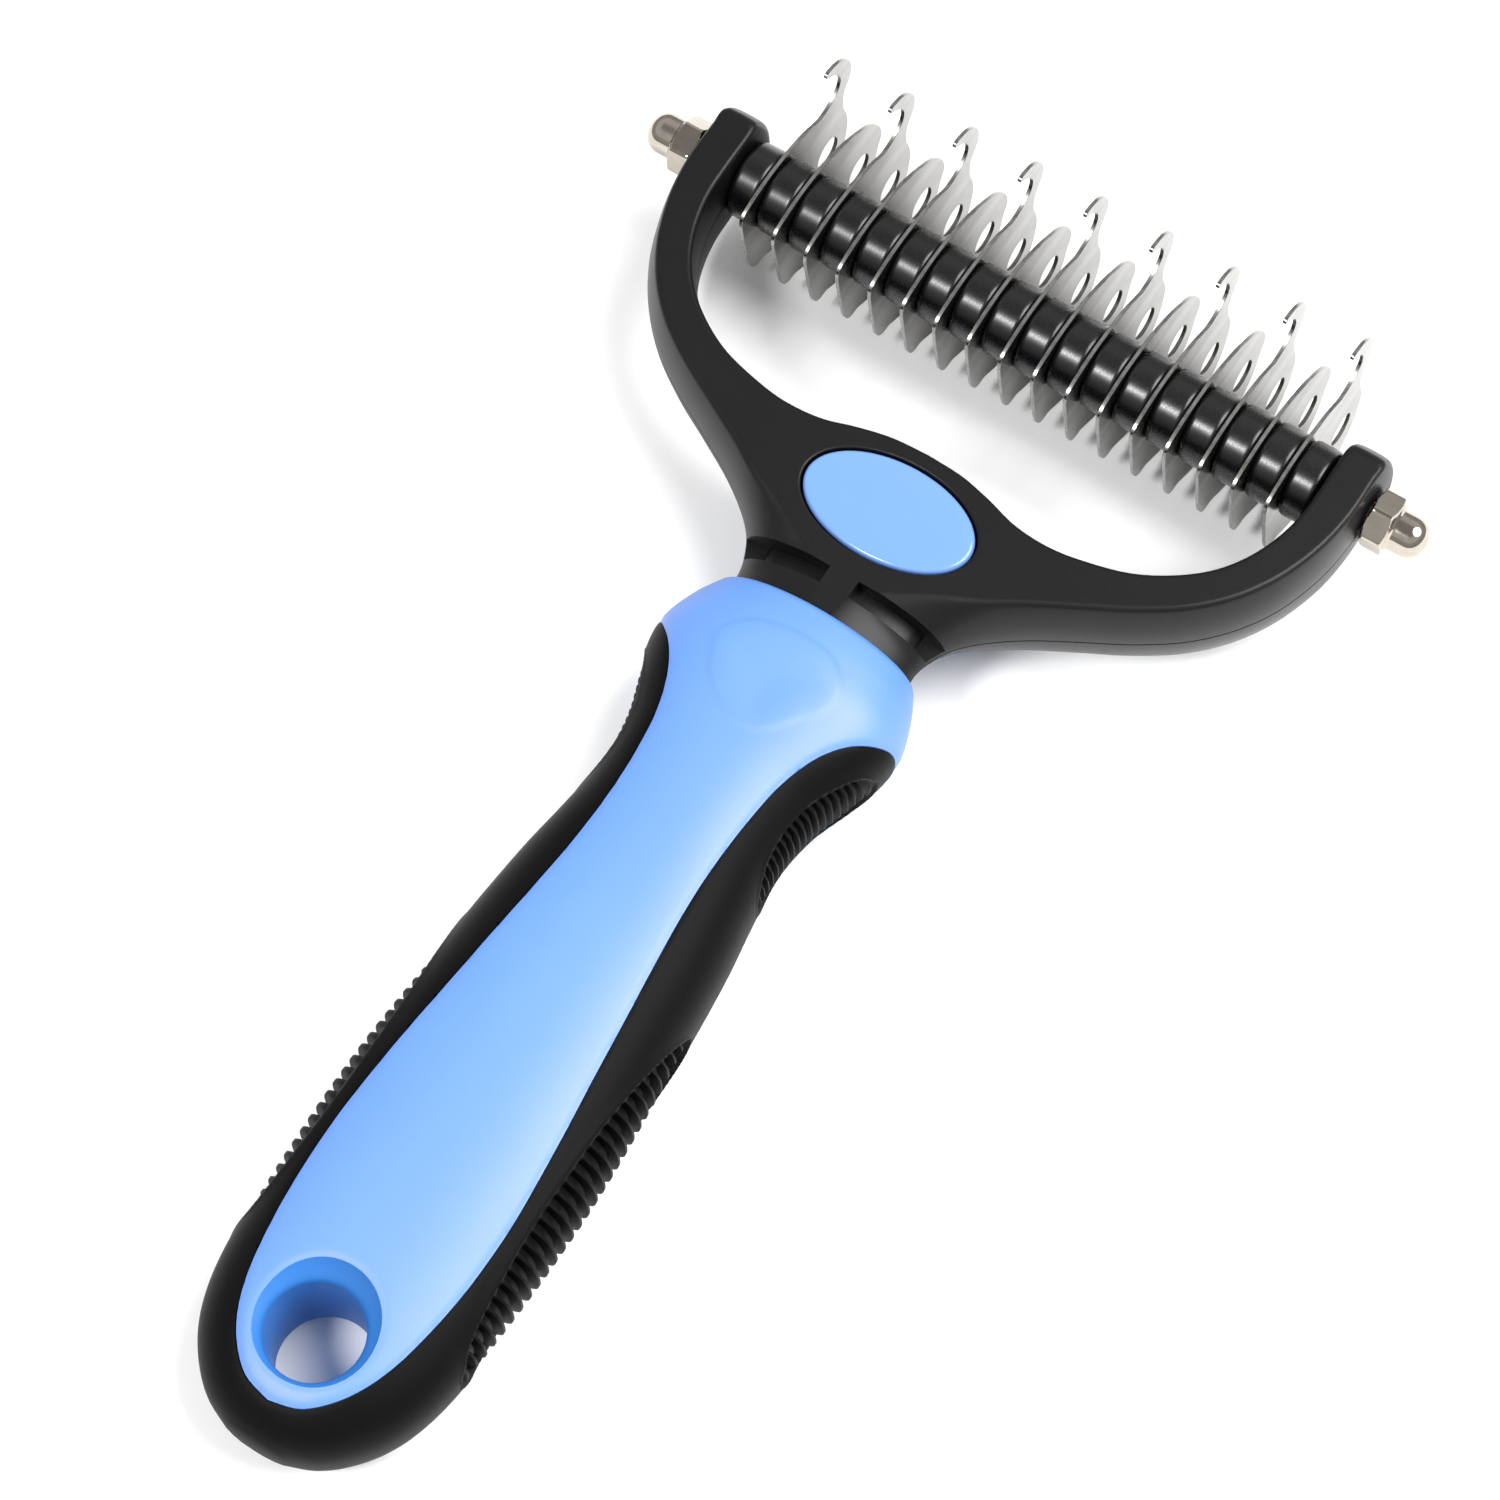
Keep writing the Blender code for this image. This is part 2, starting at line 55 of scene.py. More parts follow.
# ---------------------------------------------------------------------------
# dimensions, as the CAD part has them
# ---------------------------------------------------------------------------
BLADES, PITCH, BLADE_T = 17, 4.7, 0.5
ROD_R, BORE_R, SPACER_R, ROD_HALF = 2.0, 2.3, 5.1, 53.6
FORK_H, ARM_IN, ARM_OUT = 6.5, 41.9, 48.1
NECK_END, NECK_W, SIDE_POWER, TIP_ROLL = -48.4, 12.7, 2.2, 2.8
GROOVE_Y, GROOVE_DEPTH, RIB_HALF = (-45.4, -42.9), 2.3, 2.0
TANG = (15.4, 25.0, 7.0)
BADGE_Y, BADGE_A, BADGE_B, BADGE_POCKET = -33.0, 11.5, 6.6, 1.7
NUT_AF, NUT_HEX, NUT_TIP, DOME_R = 7.0, 3.2, 56.1, 2.75
HOLE_Y, HOLE_R, HOLE_RIM_R, HOLE_RIM_Z = -154.4, 5.9, 8.3, 7.6
HANDLE_FRONT, BUTT_Y = -48.7, -168.0

HALF_WIDTH = [(-48.7, 13.3), (-50, 14.1), (-53, 15.6), (-57, 16.8),
              (-60.5, 16.7), (-65, 15.4), (-70, 13.7), (-75, 12.9), (-80, 12.8),
              (-85, 13.4), (-91, 14.3), (-98, 15.0), (-106, 15.6), (-114, 16.3),
              (-122, 16.8), (-130, 16.9), (-138, 16.7), (-145, 16.3),
              (-151, 15.8), (-156, 14.7), (-160, 13.0), (-163.4, 10.5),
              (-166, 7.5), (-167.5, 4.2)]
HALF_HEIGHT = [(-48.7, 7.9), (-50, 8.5), (-53, 9.4), (-57, 10.1),
               (-62, 10.2), (-70, 9.9), (-80, 9.6), (-92, 9.7), (-105, 10.1),
               (-118, 10.3), (-130, 10.1), (-142, 9.5), (-151, 9.0),
               (-157, 8.5), (-161, 7.6), (-164.5, 6.1), (-166.6, 4.3),
               (-167.5, 3.0)]
SQUARENESS = [(-48.7, 1.95), (-53, 2.1), (-60, 2.35), (-68, 2.45), (-168, 2.45)]
PANEL = [(22.0, -55.4), (17.3, -58.0), (15.2, -59.6), (13.0, -61.7),
         (11.3, -64.1), (10.0, -66.8), (9.0, -70.0), (8.4, -73.3),
         (7.9, -79.0), (7.8, -85.0), (8.1, -91.0), (8.8, -98.0),
         (9.6, -105.0), (10.4, -112.5), (11.2, -119.5), (11.8, -126.0),
         (12.2, -132.0), (12.2, -137.5), (11.9, -142.8), (11.2, -148.2),
         (10.2, -153.0), (8.7, -157.0), (6.6, -160.2), (3.7, -162.7),
         (0.0, -163.7)]
FORK_HALF = [(0.0, -23.4, 0.6), (5.0, -23.7, 0.6), (9.5, -24.7, 0.6),
             (14.0, -26.0, 0.6), (19.0, -26.3, 0.6), (24.0, -25.6, 0.5),
             (28.8, -24.2, 0.5), (33.0, -21.9, 0.5), (36.4, -19.1, 0.5),
             (38.9, -15.8, 0.5), (40.7, -11.8, 0.5), (41.7, -7.4, 0.5),
             (ARM_IN, -3.0, 0.5), (ARM_IN, 1.5, 0.5), (ARM_IN, 4.9, 0.6),
             (42.3, 6.2, 0.6), (43.4, 6.8, 0.6), (46.6, 6.8, 0.6),
             (47.7, 6.2, 0.6), (ARM_OUT, 4.9, 0.6), (ARM_OUT, 1.5, 0.7),
             (ARM_OUT, -3.5, 0.7), (47.7, -8.5, 0.9), (46.6, -13.2, 1.1),
             (44.8, -17.8, 1.3), (41.9, -22.3, 1.4), (37.8, -26.5, 1.5),
             (32.6, -30.1, 1.6), (27.0, -33.2, 1.7), (21.8, -36.2, 1.9),
             (17.7, -39.2, 2.4), (14.8, -42.1, 4.2), (13.3, -44.9, 7.5),
             (NECK_W, -47.0, 10.1), (NECK_W, NECK_END, 10.5)]
# how far the neck's shoulder reaches in from the outline, and how much of it
# is the round shoulder instead of the arms' profile
SHOULDER = [(-34.0, 2.3, 0.0), (-39.2, 3.1, 0.15), (-42.1, 4.7, 0.55),
            (-44.9, 7.8, 0.95), (-47.0, 10.7, 1.0), (-48.4, 11.2, 1.0)]

LOWER = [(16.4, -8.2), (15.5, -10.7), (13.9, -12.9), (11.7, -14.5),
         (9.0, -15.4), (6.0, -15.3), (3.0, -14.4), (0.0, -12.9),
         (-2.2, -11.6), (-3.6, -10.8), (-4.9, -10.7), (-5.9, -9.9),
         (-6.5, -8.2), (-6.9, -5.5), (-7.3, -2.0), (-7.6, 1.2), (-7.7, 2.9)]
TOP = [(-7.3, 4.3), (-5.4, 5.1), (-2.2, 5.5), (0.8, 5.4), (4.0, 4.9)]
LONG = TOP + [(7.0, 4.2), (9.2, 3.2), (10.6, 2.7), (12.2, 2.8), (13.7, 3.4),
              (14.8, 4.3), (15.2, 5.5), (15.0, 6.9), (14.2, 8.2), (13.2, 9.2),
              (12.3, 9.9), (12.2, 10.5), (12.8, 10.75), (14.0, 10.5),
              (15.6, 9.7), (16.9, 8.3), (17.7, 6.5), (17.8, 4.7), (17.2, 3.2),
              (16.2, 1.9), (15.8, 0.2), (15.8, -1.6), (16.3, -3.4),
              (16.7, -5.6)] + LOWER
SHORT = TOP + [(7.0, 4.0), (9.6, 2.9), (12.0, 1.5), (14.2, 0.0), (15.9, -1.9),
               (17.0, -4.1), (17.3, -6.2)] + LOWER
EYE = (11.8, -7.2, 2.3)

# thumb rest outline on the handle's front
PAD = [(-7.1, -61.3), (-5.9, -63.4), (-3.7, -65.5), (-1.5, -66.8), (0.6, -67.4),
       (2.6, -67.2), (4.7, -65.5), (6.6, -62.9), (8.2, -61.0), (8.7, -58.9),
       (8.3, -56.8), (6.8, -55.0), (4.4, -53.8), (1.4, -53.5), (-2.0, -53.9),
       (-5.0, -54.8), (-7.3, -56.8), (-8.0, -58.8)]

# ribbed zones of the grip: height of the crease above and below mid height
ZONE_FRONT = [(-61.6, 0.0), (-62.3, 2.2), (-63.5, 3.8), (-66.2, 4.9), (-69.3, 5.4),
              (-72.2, 5.5), (-74.8, 5.4), (-78.1, 4.8), (-80.4, 3.8),
              (-82.4, 2.2), (-83.6, 0.0)]
ZONE_REAR = [(-100.2, 0.0), (-101.4, 1.7), (-103.2, 3.1), (-105.2, 4.1), (-109.6, 5.5),
             (-113.8, 6.3), (-118.6, 6.8), (-123.3, 7.0), (-128.3, 7.0),
             (-133.6, 6.7), (-137.6, 6.2), (-140.9, 5.7), (-143.9, 5.1),
             (-146.3, 4.2), (-148.0, 2.8), (-149.2, 1.4), (-150.0, 0.0)]
RIBS_FRONT = (-65.33, 1.057)     # y of one groove, pitch
RIBS_REAR = (-104.66, 1.700)


# ---------------------------------------------------------------------------
# mesh helpers
# ---------------------------------------------------------------------------
def new_object(name, me, mat):
    ob = bpy.data.objects.new(name, me)
    SCENE.collection.objects.link(ob)
    if mat is not None:
        me.materials.append(mat)
    return ob


def build(name, verts, faces, mat=None, sharp=35.0, recalc=True):
    """Mesh object from points in mm and faces."""
    me = bpy.data.meshes.new(name)
    me.from_pydata(W(verts).tolist(), [], faces)
    if recalc:
        bm = bmesh.new()
        bm.from_mesh(me)
        bmesh.ops.recalc_face_normals(bm, faces=bm.faces)
        bm.to_mesh(me)
        bm.free()
    me.update()
    me.shade_smooth()
    me.set_sharp_from_angle(angle=math.radians(sharp))
    return new_object(name, me, mat)


def skin(rings, cap0=True, cap1=True, closed=False):
    """Vertices and faces joining closed rings of equal length."""
    rings = np.asarray(rings, float)
    m, n = rings.shape[:2]
    verts = rings.reshape(-1, 3)
    i = np.arange(n)
    j = (i + 1) % n
    faces = []
    rows = m if closed else m - 1
    for r in range(rows):
        a, b = r * n, ((r + 1) % m) * n
        faces += np.stack([a + i, a + j, b + j, b + i], 1).tolist()
    if not closed and cap0:
        faces.append(list(range(n - 1, -1, -1)))
    if not closed and cap1:
        faces.append(list(range((m - 1) * n, m * n)))
    return verts, faces


def smooth(points, steps, closed=False):
    """Catmull-Rom curve through the points."""
    pts = [tuple(p) for p in points]
    n = len(pts)
    out = []
    for i in range(n if closed else n - 1):
        if closed:
            p0, p1, p2, p3 = pts[i - 1], pts[i], pts[(i + 1) % n], pts[(i + 2) % n]
        else:
            p0, p1, p2, p3 = pts[max(i - 1, 0)], pts[i], pts[i + 1], pts[min(i + 2, n - 1)]
        for s in range(steps):
            t = s / steps
            out.append([0.5 * (2 * b + (c - a) * t + (2 * a - 5 * b + 4 * c - d) * t * t
                               + (3 * b - a - 3 * c + d) * t**3)
                        for a, b, c, d in zip(p0, p1, p2, p3)])
    if not closed:
        out.append(list(pts[-1]))
    return np.array(out)


def table(tab, y):
    """Smooth values of a station table at the heights y (array)."""
    xs = np.array([t[0] for t in tab], float)
    vs = np.array([t[1] for t in tab], float)
    if xs[0] > xs[-1]:
        xs, vs = xs[::-1], vs[::-1]
    m = np.zeros_like(vs)
    m[1:-1] = (vs[2:] - vs[:-2]) / (xs[2:] - xs[:-2])
    m[0] = (vs[1] - vs[0]) / (xs[1] - xs[0])
    m[-1] = (vs[-1] - vs[-2]) / (xs[-1] - xs[-2])
    y = np.clip(np.asarray(y, float), xs[0], xs[-1])
    k = np.clip(np.searchsorted(xs, y) - 1, 0, len(xs) - 2)
    h = xs[k + 1] - xs[k]
    t = (y - xs[k]) / h
    return ((2 * t**3 - 3 * t**2 + 1) * vs[k] + (t**3 - 2 * t**2 + t) * h * m[k]
            + (-2 * t**3 + 3 * t**2) * vs[k + 1] + (t**3 - t**2) * h * m[k + 1])


def sstep(a, b, x):
    t = np.clip((np.asarray(x, float) - a) / (b - a), 0.0, 1.0)
    return t * t * (3 - 2 * t)


def polyline_distance(pts, line, closed=False):
    """Distance from plan points to a polyline."""
    pts = np.asarray(pts, float)
    a = np.asarray(line, float)
    b = np.roll(a, -1, axis=0) if closed else a[1:]
    a = a if closed else a[:-1]
    best = np.full(len(pts), 1e9)
    d = b - a
    ll = (d**2).sum(1)
    for k in range(len(a)):
        if ll[k] < 1e-12:
            continue
        t = np.clip(((pts - a[k]) @ d[k]) / ll[k], 0, 1)
        q = pts - (a[k] + t[:, None] * d[k])
        best = np.minimum(best, (q**2).sum(1))
    return np.sqrt(best)


def inside(pts, poly):
    """True for plan points inside a closed polygon."""
    x, y = pts[:, 0], pts[:, 1]
    res = np.zeros(len(pts), bool)
    n = len(poly)
    for i in range(n):
        x0, y0 = poly[i - 1]
        x1, y1 = poly[i]
        if y0 == y1:
            continue
        hit = (y0 > y) != (y1 > y)
        xi = x0 + (y - y0) * (x1 - x0) / (y1 - y0)
        res ^= hit & (x < xi)
    return res


def cut(target, cutter, operation):
    mod = target.modifiers.new(operation, 'BOOLEAN')
    mod.operation = operation
    mod.object = cutter
    mod.solver = 'EXACT'
    bpy.context.view_layer.update()
    dg = bpy.context.evaluated_depsgraph_get()
    me = bpy.data.meshes.new_from_object(target.evaluated_get(dg))
    target.modifiers.clear()
    old = target.data
    target.data = me
    bpy.data.meshes.remove(old)
    bpy.data.objects.remove(cutter, do_unlink=True)


def finish_mesh(ob, mat, sharp=35.0, weld=4e-6):
    """Weld slivers after the cuts and set the material and the shading."""
    bm = bmesh.new()
    bm.from_mesh(ob.data)
    bmesh.ops.remove_doubles(bm, verts=bm.verts, dist=weld)
    bmesh.ops.dissolve_degenerate(bm, edges=bm.edges, dist=weld)
    bmesh.ops.triangulate(bm, faces=[f for f in bm.faces if len(f.verts) > 4],
                          quad_method='BEAUTY', ngon_method='EAR_CLIP')
    bmesh.ops.recalc_face_normals(bm, faces=bm.faces)
    bm.to_mesh(ob.data)
    bm.free()
    ob.data.materials.clear()
    ob.data.materials.append(mat)
    for p in ob.data.polygons:
        p.material_index = 0
    ob.data.shade_smooth()
    ob.data.set_sharp_from_angle(angle=math.radians(sharp))


def box_cutter(x0, x1, y0, y1, z0, z1):
    rings = [[(x0, y0, z), (x1, y0, z), (x1, y1, z), (x0, y1, z)] for z in (z0, z1)]
    return build("cutter", *skin(rings))


# ---------------------------------------------------------------------------
# materials
# ---------------------------------------------------------------------------
class Graph:
    def __init__(self, name):
        self.mat = bpy.data.materials.new(name)
        self.mat.use_nodes = True
        self.t = self.mat.node_tree
        self.b = self.t.nodes["Principled BSDF"]
        self.coord = self.t.nodes.new("ShaderNodeTexCoord")

    def node(self, kind, **inputs):
        n = self.t.nodes.new(kind)
        for k, v in inputs.items():
            n.inputs[k].default_value = v
        return n

    def link(self, a, b):
        self.t.links.new(a, b)

    def mapped(self, scale):
        m = self.node("ShaderNodeMapping")
        m.inputs["Scale"].default_value = scale
        self.link(self.coord.outputs["Object"], m.inputs["Vector"])
        return m.outputs["Vector"]

    def noise(self, scale, detail=2.0, rough=0.5, vector=None):
        n = self.t.nodes.new("ShaderNodeTexNoise")
        n.inputs["Scale"].default_value = scale
        n.inputs["Detail"].default_value = detail
        n.inputs["Roughness"].default_value = rough
        self.link(vector if vector is not None else self.coord.outputs["Object"],
                  n.inputs["Vector"])
        return n.outputs["Fac"]

    def remap(self, value, a, b, lo, hi):
        n = self.t.nodes.new("ShaderNodeMapRange")
        n.inputs["From Min"].default_value = a
        n.inputs["From Max"].default_value = b
        n.inputs["To Min"].default_value = lo
        n.inputs["To Max"].default_value = hi
        self.link(value, n.inputs["Value"])
        return n.outputs["Result"]

    def math(self, op, a, b):
        n = self.t.nodes.new("ShaderNodeMath")
        n.operation = op
        for k, v in ((0, a), (1, b)):
            if isinstance(v, (int, float)):
                n.inputs[k].default_value = v
            else:
                self.link(v, n.inputs[k])
        return n.outputs[0]

    def mix(self, fac, c1, c2):
        n = self.t.nodes.new("ShaderNodeMix")
        n.data_type = 'RGBA'
        self.link(fac, n.inputs["Factor"])
        for k, v in ((6, c1), (7, c2)):
            if isinstance(v, tuple):
                n.inputs[k].default_value = (*v, 1.0)
            else:
                self.link(v, n.inputs[k])
        return n.outputs[2]

    def bump(self, height, strength, distance, normal=None):
        n = self.t.nodes.new("ShaderNodeBump")
        n.inputs["Strength"].default_value = strength
        n.inputs["Distance"].default_value = distance
        self.link(height, n.inputs["Height"])
        if normal is not None:
            self.link(normal, n.inputs["Normal"])
        return n.outputs["Normal"]


def plastic(name, base, dark, rough, grain, strength, spec=0.5, coat=0.0, coat_rough=0.1,
            sheen=0.0, spread=0.04):
    """Moulded plastic or rubber: fine spark grain, soft mottling, matching gloss."""
    g = Graph(name)
    slow = g.noise(55.0, 3.0, 0.55)
    fine = g.noise(grain, 2.0, 0.6)
    tone = g.remap(g.math('ADD', g.math('MULTIPLY', slow, 0.65), g.math('MULTIPLY', fine, 0.35)),
                   0.35, 0.65, 0.0, 1.0)
    g.link(g.mix(tone, dark, base), g.b.inputs["Base Color"])
    g.link(g.remap(fine, 0.3, 0.7, rough - spread, rough + spread), g.b.inputs["Roughness"])
    broad = g.noise(170.0, 2.0, 0.5)
    n1 = g.bump(broad, 0.06, 0.0002)
    g.link(g.bump(fine, strength, 0.00006, n1), g.b.inputs["Normal"])
    g.b.inputs["Specular IOR Level"].default_value = spec
    g.b.inputs["Coat Weight"].default_value = coat
    g.b.inputs["Coat Roughness"].default_value = coat_rough
    g.b.inputs["Sheen Weight"].default_value = sheen
    return g.mat


def metal(name, base, dark, rough, streak, strength, spread=0.06, coarse=300.0):
    """Metal with fine directional marks and soft tarnish."""
    g = Graph(name)
    lines = g.noise(1.0, 2.0, 0.6, g.mapped(streak))
    cloud = g.noise(coarse, 3.0, 0.6)
    tone = g.remap(g.math('ADD', g.math('MULTIPLY', cloud, 0.5), g.math('MULTIPLY', lines, 0.5)),
                   0.35, 0.65, 0.0, 1.0)
    g.link(g.mix(tone, dark, base), g.b.inputs["Base Color"])
    g.link(g.remap(lines, 0.3, 0.7, rough - spread, rough + spread), g.b.inputs["Roughness"])
    g.link(g.bump(lines, strength, 0.00004), g.b.inputs["Normal"])
    g.b.inputs["Metallic"].default_value = 1.0
    return g.mat


M_BLUE = plastic("moulded_blue", (0.089, 0.238, 0.600), (0.080, 0.222, 0.570), 0.50, 5200.0, 0.12,
                 spec=0.98)
M_BLUE.node_tree.nodes["Principled BSDF"].inputs["Specular Tint"].default_value = (1.0, 0.68, 1.0, 1.0)
# darker, deeper blue for the hanging hole's inner walls: painted shade for the inside of the hole
M_BORE_PAINTED_SHADE = plastic("hole_painted_shade_blue", (0.030, 0.160, 0.470), (0.026, 0.148, 0.445), 0.42, 5200.0, 0.12,
                 spec=0.35)
M_BADGE = plastic("gloss_blue", (0.132, 0.258, 0.590), (0.122, 0.246, 0.570), 0.20, 5200.0, 0.03,
                  spec=0.50, coat=0.15, coat_rough=0.12)
M_FORK = plastic("textured_black", (0.0038, 0.0038, 0.0038), (0.0024, 0.0024, 0.0025), 0.38,
                 5600.0, 0.18, spec=0.25)
M_RUBBER = plastic("grip_black", (0.0026, 0.0026, 0.0026), (0.0018, 0.0018, 0.0018), 0.50,
                   7200.0, 0.20, spec=0.07)
M_SPACER = plastic("gloss_black", (0.0018, 0.0018, 0.0023), (0.0012, 0.0012, 0.0016), 0.28,
                   3800.0, 0.025, spec=0.50)
M_BLADE = metal("satin_blade_steel", (0.235, 0.230, 0.218), (0.285, 0.280, 0.270), 0.24,
                (900.0, 120.0, 600.0), 0.006, spread=0.02)
M_EDGE = metal("blanked_edge_steel", (0.33, 0.325, 0.31), (0.26, 0.255, 0.245), 0.28,
               (1500.0, 900.0, 900.0), 0.05, spread=0.04)
# rough punched steel for the walls of the rod hole and the eye; its darker colour is painted shade inside
# the holes
M_PUNCH_PAINTED_SHADE = metal("punched_wall_steel_painted_shade", (0.15, 0.14, 0.125), (0.09, 0.085, 0.075), 0.55,
                (2600.0, 500.0, 500.0), 0.20, spread=0.08)
M_NUT = metal("nickel_plate", (0.44, 0.40, 0.345), (0.39, 0.35, 0.30), 0.09,
              (900.0, 1500.0, 1500.0), 0.03, spread=0.02)
M_ROD = metal("zinc_thread", (0.38, 0.375, 0.37), (0.30, 0.295, 0.29), 0.30,
              (2500.0, 700.0, 700.0), 0.10)


# ---------------------------------------------------------------------------
# fork
# ---------------------------------------------------------------------------
def fork_outline(steps):
    right = smooth(FORK_HALF, steps)
    full = np.vstack([right, right[1:][::-1] * [-1, 1, 1]])
    prev, nxt = np.roll(full, 1, 0), np.roll(full, -1, 0)
    t = (nxt - prev)[:, :2]
    t /= np.linalg.norm(t, axis=1)[:, None]
    nrm = np.stack([-t[:, 1], t[:, 0]], 1)
    end = np.abs(full[:, 1] - NECK_END) < 1e-6
    area = np.sum(full[:, 0] * nxt[:, 1] - nxt[:, 0] * full[:, 1])
    nrm *= 1.0 if area < 0 else -1.0
    nrm[end] = np.stack([np.sign(full[end, 0]), np.zeros(end.sum())], 1)
    return full, nrm


def fork_ring(full, nrm, q, u, side, support=0.0):
    """One ring of the fork: q runs up the side, u round the top edge."""
    x, y, e = full[:, 0], full[:, 1], full[:, 2]
    reach = table([(a, b) for a, b, c in SHOULDER], y)
    mix = table([(a, c) for a, b, c in SHOULDER], y)
    mix = np.where(y < -34.0, np.clip(mix, 0, 1), 0.0)
    rz = 0.55
    rin = 0.5
    z = q * (FORK_H - rz) + rz * math.sin(u)
    t = z / FORK_H
    plain = e * t**SIDE_POWER + rin * (1 - math.cos(u)) + support
    # the parting line is a shallow groove round the middle
    plain = plain + (0.10 if q == 0.0 else 0.0)
    tt = min(t, 0.9999)
    n = 1.5
    round_ = reach * (1 - (1 - tt**n) ** (1 / n)) + support + (0.10 if q == 0.0 else 0.0)
    s = plain * (1 - mix) + round_ * mix
    # the arms' ends roll over towards both faces
    roll = (TIP_ROLL * t**SIDE_POWER + 0.9 * (1 - math.cos(u)) + support) / 5.6
    tip = y > 1.2
    yy = np.where(tip, 1.2 + (y - 1.2) * (1 - roll), y - nrm[:, 1] * s)
    return np.stack([x - nrm[:, 0] * s, yy, np.full_like(x, side * z)], 1)


def fork_piece():
    full, nrm = fork_outline(8)
    n = len(full)
    qs = [0.025, 0.05, 0.12, 0.22, 0.33, 0.44, 0.55, 0.65, 0.74, 0.82, 0.89, 0.95, 1.0]
    us = [math.radians(a) for a in (12, 24, 36, 48, 60, 72, 82, 90)]
    up = [fork_ring(full, nrm, q, 0.0, 1) for q in qs]
    up += [fork_ring(full, nrm, 1.0, u, 1) for u in us]
    up.append(fork_ring(full, nrm, 1.0, us[-1], 1, support=0.18))
    down = [r * [1, 1, -1] for r in up]
    rings = down[::-1] + [fork_ring(full, nrm, 0.0, 0.0, 1)] + up
    verts, faces = skin(rings, cap0=False, cap1=False)
    me = bpy.data.meshes.new("fork_shell")
    me.from_pydata(W(verts).tolist(), [], faces)
    bm = bmesh.new()
    bm.from_mesh(me)
    bm.verts.ensure_lookup_table()
    # oval pockets with a rounded rim, built as part of each face
    k = 120
    ang = np.arange(k) * 2 * math.pi / k

    def oval(grow, z):
        return np.stack([(BADGE_A + 0.3 + grow) * np.cos(ang),
                         BADGE_Y + (BADGE_B + 0.3 + grow) * np.sin(ang), np.full(k, z)], 1)

    r = 0.28
    total = len(rings)
    for side, base in ((1, (total - 1) * n), (-1, 0)):
        prof = [(r + 0.18, FORK_H)] + [(r * (1 - math.sin(a)), FORK_H - r * (1 - math.cos(a)))
                                       for a in np.radians([0, 18, 36, 54, 72, 90])]
        prof += [(0.0, FORK_H - 0.9), (0.0, FORK_H - BADGE_POCKET + 0.2), (-0.2, FORK_H - BADGE_POCKET)]
        loops = []
        for grow, z in prof:
            loops.append([bm.verts.new(W(p)) for p in oval(grow, side * z)])
        for a, b in zip(loops, loops[1:]):
            for i in range(k):
                j = (i + 1) % k
                bm.faces.new((a[i], a[j], b[j], b[i]))
        bm.faces.new(loops[-1])
        bm.verts.ensure_lookup_table()
        rim = [bm.edges.get((bm.verts[base + i], bm.verts[base + (i + 1) % n])) for i in range(n)]
        rim += [bm.edges.get((loops[0][i], loops[0][(i + 1) % k])) for i in range(k)]
        bmesh.ops.triangle_fill(bm, use_beauty=True, use_dissolve=False, edges=rim)
    bmesh.ops.recalc_face_normals(bm, faces=bm.faces)
    bm.to_mesh(me)
    bm.free()
    ob = new_object("fork_shell", me, None)

    w, run, h = TANG
    cut(ob, box_cutter(-w / 2, w / 2, NECK_END - run, NECK_END + 4, -h / 2, h / 2), 'UNION')
    for side in (-1, 1):
        a = np.arange(48) * 2 * math.pi / 48
        rings = [np.stack([np.full(48, side * x), rr * np.cos(a), rr * np.sin(a)], 1)
                 for x, rr in ((35.0, BORE_R), (55.0, BORE_R))]
        cut(ob, build("bore", *skin(rings)), 'DIFFERENCE')

    # neck slots that go round the shoulder, either side of the rib
    for face in (-1, 1):
        for side in (-1, 1):
            a = np.radians(np.linspace(7.0, 90.0, 30))
            cx = (13.4 - GROOVE_DEPTH) * np.cos(a) ** (2 / 2.15)
            cz = (FORK_H - GROOVE_DEPTH) * np.sin(a) ** (2 / 2.15)
            keep = cx > RIB_HALF + 0.05
            floor_ = list(zip(cx[keep], cz[keep]))
            loop = floor_ + [(RIB_HALF, floor_[-1][1] + 0.02), (RIB_HALF, 12.0), (20.0, 12.0),
                             (20.0, floor_[0][1])]
            rings = [[(side * x, y, face * z) for x, z in loop] for y in GROOVE_Y]
            cut(ob, build("groove", *skin(rings)), 'DIFFERENCE')
    finish_mesh(ob, M_FORK, sharp=32.0)
    return ob


def badge_piece(name, face):
    """Glossy oval insert with a rounded edge and a slight crown."""
    k = 120
    ang = np.arange(k) * 2 * math.pi / k
    z0 = FORK_H - BADGE_POCKET + 0.3
    r = 0.55
    top = FORK_H + 0.12
    rings = []

    def oval(inset, z):
        a, b = BADGE_A - inset, BADGE_B - inset
        return np.stack([a * np.cos(ang), BADGE_Y + b * np.sin(ang), np.full(k, face * z)], 1)

    rings.append(oval(0.3, z0))
    rings.append(oval(0.0, z0 + 0.25))
    rings.append(oval(0.0, top - r))
    for a in np.radians([15, 30, 45, 60, 75, 84]):
        rings.append(oval(r * (1 - math.cos(a)), top - r + r * math.sin(a)))
    # crown: a shallow dome over the rest
    for f in (0.90, 0.8, 0.68, 0.55, 0.42, 0.3, 0.18, 0.08):
        inset_a = BADGE_A * (1 - f)
        a, b = (BADGE_A - r) * f, (BADGE_B - r) * f
        z = top + 0.22 * (1 - f * f)
        rings.append(np.stack([a * np.cos(ang), BADGE_Y + b * np.sin(ang), np.full(k, face * z)], 1))
    ob = build(name, *skin(rings), mat=M_BADGE, sharp=50)
    return ob


